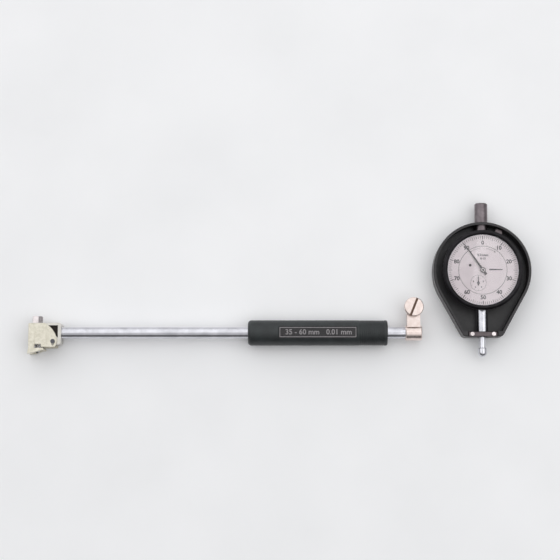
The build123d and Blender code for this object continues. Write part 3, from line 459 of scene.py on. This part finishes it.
def grimy_slot():
    """The screw's finish, with painted shade inside the slot across its round knob."""
    material, tree, shader, base_tone = pearl_nickel("pearl_nickel_screw")
    place, parts = object_place(tree)
    low, high = span("clamp_screw")
    turn, skin = math.radians(slot_degrees), 0.05
    across = Vector((-math.sin(turn), math.cos(turn), 0))
    sideways = tree.nodes.new("ShaderNodeVectorMath")
    sideways.operation = "DOT_PRODUCT"
    sideways.inputs[1].default_value = across
    tree.links.new(place, sideways.inputs[0])
    middle, half = across.dot((low + high) / 2), slot_width / 2 + skin
    along_slot = between(tree, sideways.outputs["Value"], middle - half, middle + half)
    below_face = between(tree, parts["Z"], high.z - slot_depth - skin, high.z - slot_unshaded_rim)
    # Painted shade: the slot's walls and floor are darkened in the colour.
    stained(tree, shader, base_tone, both(tree, along_slot, below_face), srgb(100, 82, 72))
    return material


dress(pearl_nickel("pearl_nickel_collar")[0], "clamp_collar")
dress(grimy_slot(), "clamp_screw")

# Guard and stem saddle.
# A black moulded pan round the indicator that keeps the dial from knocks. A cast saddle and two screws
# hold the indicator's stem in the guard's neck.
dress(moulded_plastic("guard_plastic", srgb(30, 28, 30), srgb(41, 38, 41), 0.34, 0.01), "guard")


def cast_aluminium(name, dark, light, rough):
    material, tree, shader = new_finish(name, light, 1.0, rough)
    tint(tree, shader, cloud(tree, 4), dark, light)
    tree.links.new(spread(tree, cloud(tree, 0.5), rough - 0.08, rough + 0.08), shader.inputs["Roughness"])
    relief(tree, shader, cloud(tree, 0.2), 0.006, edge=0.12)
    return material


dark_saddle = cast_aluminium("dark_saddle", srgb(84, 76, 78), srgb(102, 94, 96), 0.38)
dress(dark_saddle, "stem_saddle")
dress(nut_chrome, "saddle_screws")

# Case, back cover and bezel.
# Turned aluminium, anodised black, with a plain back cover. The bezel's edge is notched so that fingers
# can turn it. A wire in its groove snaps it on, and a claw with a thumb screw locks it.


def black_anodised():
    material, tree, shader = new_finish("black_anodised", srgb(34, 32, 35), 0.7, 0.32)
    tint(tree, shader, cloud(tree, 5), srgb(27, 25, 28), srgb(42, 40, 43))
    tree.links.new(spread(tree, cloud(tree, 0.5), 0.26, 0.4), shader.inputs["Roughness"])
    relief(tree, shader, cloud(tree, 0.2), 0.003, edge=0.2)
    return material


dress(black_anodised(), "bezel", "indicator_case")
grey_aluminium = cast_aluminium("grey_aluminium", srgb(112, 104, 107), srgb(132, 124, 127), 0.36)
dress(grey_aluminium, "back_cover", "top_cap")
dress(dark_saddle, "bezel_claw", "bezel_thumb_screw")
dress(dark_steel, "back_screws")
dress(spring_steel, "bezel_wire")

# Stem, bushing, spindle and contact point.
# The stem is pressed into the case and guides the spindle. All are hardened, ground and chromed.
shaft_chrome = ground_chrome("ground_chrome_shaft", "y")
dress(shaft_chrome, "stem", "spindle", "upper_bushing", "contact_point")

# Movement.
# Stamped brass plates on turned pillars, hobbed brass gears on steel arbors, and springs that take up
# the play and pull the spindle down. The return spring stretches between its post and the crosshead.
dress(brass, "rear_plate", "front_plate", "pillars", "spring_post", "centre_bushing")
dress(brass, "counter_gear", "takeup_gear")
dress(dark_steel, "crosshead", "counter_arbor", "centre_arbor")
dress(spring_steel, "return_spring", "hairspring")

rest_spring = nodes["return_spring"]
stretched = bpy.data.objects.new("return_coils", rest_spring.data.copy())
stretched.matrix_world = rest_spring.matrix_world
bpy.context.scene.collection.objects.link(stretched)
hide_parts("return_spring")
low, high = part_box("return_spring")
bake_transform(stretched)

# Dial.
# Two aluminium discs in white enamel. The outer ring turns with the bezel and carries the hundred
# divisions, and the centre disc stays still. The marks are printed in black ink.


def white_enamel():
    material, tree, shader = new_finish("white_enamel", srgb(210, 199, 203), 0.0, 0.4)
    tint(tree, shader, cloud(tree, 9), srgb(206, 195, 199), srgb(213, 202, 206))
    tree.links.new(spread(tree, cloud(tree, 1), 0.34, 0.46), shader.inputs["Roughness"])
    relief(tree, shader, cloud(tree, 0.4), 0.002, edge=0.05)
    return material


def around(radius, degrees, centre=(0, 0)):
    """The point at a radius and an angle that is counted clockwise from the top."""
    turn = math.radians(degrees)
    return centre[0] + radius * math.sin(turn), centre[1] + radius * math.cos(turn)


def tick(inner, outer, width, degrees, centre=(0, 0)):
    """A short bar along the radius."""
    across = Vector(around(1, degrees + 90)) * (width / 2)
    low, high = Vector(around(inner, degrees, centre)), Vector(around(outer, degrees, centre))
    return [tuple(low - across), tuple(high - across), tuple(high + across), tuple(low + across)]


def arc_band(radius, width, start, end, centre=(0, 0), steps=24):
    """A band along a circle, from one angle to another."""
    angles = [start + (end - start) * step / steps for step in range(steps + 1)]
    outer = [around(radius + width / 2, angle, centre) for angle in angles]
    inner = [around(radius - width / 2, angle, centre) for angle in reversed(angles)]
    return outer + inner


dress(white_enamel(), "scale_ring", "centre_dial")
dress(cast_aluminium("bright_spacer", srgb(190, 188, 192), srgb(214, 212, 216), 0.25), "spacer_ring")
black_ink = printing_ink("black_ink", srgb(48, 42, 48))
dial_face = span("scale_ring")[1].z

divisions = 100
tick_outer, tick_short, tick_long = 24.4, 1.9, 2.5
tick_fine, tick_medium, tick_heavy = 0.26, 0.32, 0.55
bars = []
for number in range(divisions):
    length, width = tick_short, tick_fine
    if number % 5 == 0:
        length, width = tick_long, tick_medium
    if number % 10 == 0:
        length, width = tick_long, tick_heavy
    bars.append(tick(tick_outer - length, tick_outer, width, number * 360 / divisions))
printed("scale_divisions", bars, dial_face, black_ink, "bezel_group")

figure_radius, figure_height, figure_bold = 19.5, 2.8, 0.13
figures = []
for number in range(10):
    figures.append((str(number * 10), *around(figure_radius, number * 36), figure_height, figure_bold))
lettered("scale_figures", figures, dial_face, black_ink, "bezel_group")

# Small dial of the turns counter, and the other marks on the centre disc.
# All are printed in black ink: ten ticks on a fine ring, two arrows for the ways that the scale may be
# turned, a wedge, a dot, and the reading with its unit.
counter_place = (-3.3, -9.2)
counter_radius, counter_ring, counter_tick_width = 5.6, 0.14, 0.16
counter_short, counter_long = 0.8, 1.1
counter_marks = []
for start in (0, 180):
    counter_marks.append(arc_band(counter_radius, counter_ring, start, start + 180, counter_place))
for number in range(10):
    inner = counter_radius - (counter_long if number % 5 == 0 else counter_short)
    counter_marks.append(tick(inner, counter_radius, counter_tick_width, number * 36, counter_place))
printed("counter_ring", counter_marks, dial_face, black_ink, "frame")

long_wedge = [(4.5, -0.15), (4.5, 0.95), (13.9, 0.7), (13.9, 0.1)]
round_dot = arc_band(0.5, 0.9, 0, 358, (-9.0, 3.5))
arrow_radius, arrow_line, arrow_head = 15.6, 0.18, 0.6
arrow_start, arrow_end, arrow_base, arrow_tip = 8, 32, 31.5, 36
marks = [long_wedge, round_dot]
for side in (-1, 1):
    marks.append(arc_band(arrow_radius, arrow_line, side * arrow_start, side * arrow_end))
    base = [around(arrow_radius + half, side * arrow_base) for half in (arrow_head, -arrow_head)]
    marks.append([around(arrow_radius, side * arrow_tip), *base])
printed("centre_marks", marks, dial_face, black_ink, "frame")

small_words = [("0.01mm", 0.1, 10.7, 1.7, 0.07), ("0-10", 0.1, 8.2, 1.5, 0.06)]
counter_figure_radius, counter_figure_height, counter_figure_bold = 3.6, 1.2, 0.05
for number in range(0, 10, 2):
    place = around(counter_figure_radius, number * 36, counter_place)
    small_words.append((str(number), *place, counter_figure_height, counter_figure_bold))
lettered("centre_words", small_words, dial_face, black_ink, "frame")

# Hands.
# Stamped from thin steel and blackened. The main hand is riveted to a turned collet of nickelled brass,
# which is pressed on the arbor's end and stands a little above the hand.
dress(printing_ink("blackened_steel", srgb(52, 44, 50)), "main_hand", "counter_hand")


def turned(name, profile, material, body, steps=48):
    """A turned piece on an upright axis, from the radius and height of each step in its profile."""
    shape = bmesh.new()
    rings = []
    for radius, height in profile:
        spots = [around(radius, step * 360 / steps) for step in range(steps)]
        rings.append([shape.verts.new((x * MM, y * MM, height * MM)) for x, y in spots])
    for lower, upper in zip(rings, rings[1:] + rings[:1]):
        for step in range(steps):
            after = (step + 1) % steps
            shape.faces.new((lower[step], lower[after], upper[after], upper[step]))
    bmesh.ops.recalc_face_normals(shape, faces=shape.faces)
    return finished(name, shape, material, body)


collet_bore, collet_radius, collet_height, collet_edge = 0.9, 1.35, 0.45, 0.15
hand_top = span("main_hand")[1].z
collet_top = hand_top + collet_height
collet = [
    (collet_bore, hand_top),
    (collet_radius, hand_top),
    (collet_radius, collet_top - collet_edge),
    (collet_radius - collet_edge, collet_top),
    (collet_bore, collet_top),
]
turned("hand_collet", collet, nut_chrome, "hand_group")

# Crystal.
# A domed window, moulded in clear acrylic. It is snapped under the bezel's lip and turns with the bezel.


def clear_acrylic():
    material, tree, shader = new_finish("clear_acrylic", (1, 1, 1), 0.0, 0.03)
    shader.inputs["Transmission Weight"].default_value = 1.0
    shader.inputs["IOR"].default_value = 1.49
    tree.links.new(spread(tree, cloud(tree, 3), 0.01, 0.04), shader.inputs["Roughness"])
    clear = tree.nodes.new("ShaderNodeBsdfTransparent")
    light = tree.nodes.new("ShaderNodeLightPath")
    mix = tree.nodes.new("ShaderNodeMixShader")
    tree.links.new(light.outputs["Is Shadow Ray"], mix.inputs["Fac"])
    tree.links.new(shader.outputs["BSDF"], mix.inputs[1])
    tree.links.new(clear.outputs["BSDF"], mix.inputs[2])
    tree.links.new(mix.outputs["Shader"], tree.nodes["Material Output"].inputs["Surface"])
    return material


dress(clear_acrylic(), "crystal")

# Bench top.
# A plain sheet in a pale matt paint, with a barely visible drift of tone. The gauge lies on it loose.


def bench_top():
    material, tree, shader = new_finish("pale_bench", srgb(249, 249, 250), 0.0, 0.8)
    tint(tree, shader, cloud(tree, 80), srgb(247, 247, 248), srgb(251, 251, 252))
    mesh = bpy.data.meshes.new("bench_top")
    reach = 4.0
    corners = [(-reach, -reach, 0), (reach, -reach, 0), (reach, reach, 0), (-reach, reach, 0)]
    mesh.from_pydata(corners, [], [(0, 1, 2, 3)])
    mesh.materials.append(material)
    bench = bpy.data.objects.new("bench_top", mesh)
    bpy.context.scene.collection.objects.link(bench)


bench_top()

# Lamps and room.
# One wide soft lamp overhead, behind the gauge and to its left, and a weaker one at the right. The room
# is pale on the lamp's side and overhead, and dark low down on the near side, which shades the chrome.
tube_height = 0.009
middle = (Vector(cad_box[0]) + Vector(cad_box[1])) / 2
middle.z = tube_height


def soft_lamp(name, place, width, height, power):
    lamp = bpy.data.lights.new(name, "AREA")
    lamp.shape = "RECTANGLE"
    lamp.size, lamp.size_y, lamp.energy = width, height, power
    holder = bpy.data.objects.new(name, lamp)
    holder.location = middle + Vector(place)
    holder.rotation_euler = (middle - holder.location).to_track_quat("-Z", "Y").to_euler()
    bpy.context.scene.collection.objects.link(holder)


soft_lamp("key_lamp", (-0.5, 0.8, 1.1), 3.2, 2.2, 14)
soft_lamp("fill_lamp", (0.8, -0.1, 1.2), 1.4, 1.4, 5.5)


def studio_room():
    """A room whose brightness follows the height, and which is pale on one side."""
    world = bpy.data.worlds.new("studio")
    bpy.context.scene.world = world
    world.use_nodes = True
    tree = world.node_tree
    sky = tree.nodes["Background"]
    place = tree.nodes.new("ShaderNodeTexCoord")
    parts = tree.nodes.new("ShaderNodeSeparateXYZ")
    tree.links.new(place.outputs["Generated"], parts.inputs["Vector"])
    heights = tree.nodes.new("ShaderNodeValToRGB")
    ramp = heights.color_ramp
    stops = ((0.0, 0.16), (0.35, 0.06), (0.55, 0.16), (0.85, 0.78))
    while len(ramp.elements) < len(stops):
        ramp.elements.new(0.5)
    for element, (position, level) in zip(ramp.elements, stops):
        element.position = position
        element.color = (level, level, level * 1.01, 1)
    tree.links.new(parts.outputs["Z"], heights.inputs["Fac"])
    side = tree.nodes.new("ShaderNodeVectorMath")
    side.operation = "DOT_PRODUCT"
    side.inputs[1].default_value = (-0.12, 0.99, 0)
    tree.links.new(place.outputs["Generated"], side.inputs[0])
    blend = tree.nodes.new("ShaderNodeMix")
    blend.data_type = "RGBA"
    blend.inputs["B"].default_value = (0.66, 0.67, 0.68, 1)
    tree.links.new(spread(tree, side.outputs["Value"], 0, 1, -0.45, 0.2), blend.inputs["Factor"])
    tree.links.new(heights.outputs["Color"], blend.inputs["A"])
    tree.links.new(blend.outputs["Result"], sky.inputs["Color"])
    sky.inputs["Strength"].default_value = 0.86


studio_room()

# Camera.
# It looks almost straight down on the gauge, from in front of the holder's middle.
camera_height = 84
camera_distance = 1.3
view_width = 0.40
lens = bpy.data.cameras.new("camera")
lens.lens = lens.sensor_width * camera_distance / view_width
camera = bpy.data.objects.new("camera", lens)
tilt = math.radians(camera_height)
camera.location = middle + camera_distance * Vector((0, -math.cos(tilt), math.sin(tilt)))
camera.rotation_euler = (math.radians(90 - camera_height), 0, 0)
bpy.context.scene.collection.objects.link(camera)
bpy.context.scene.camera = camera
bpy.context.scene.view_settings.view_transform = "Standard"
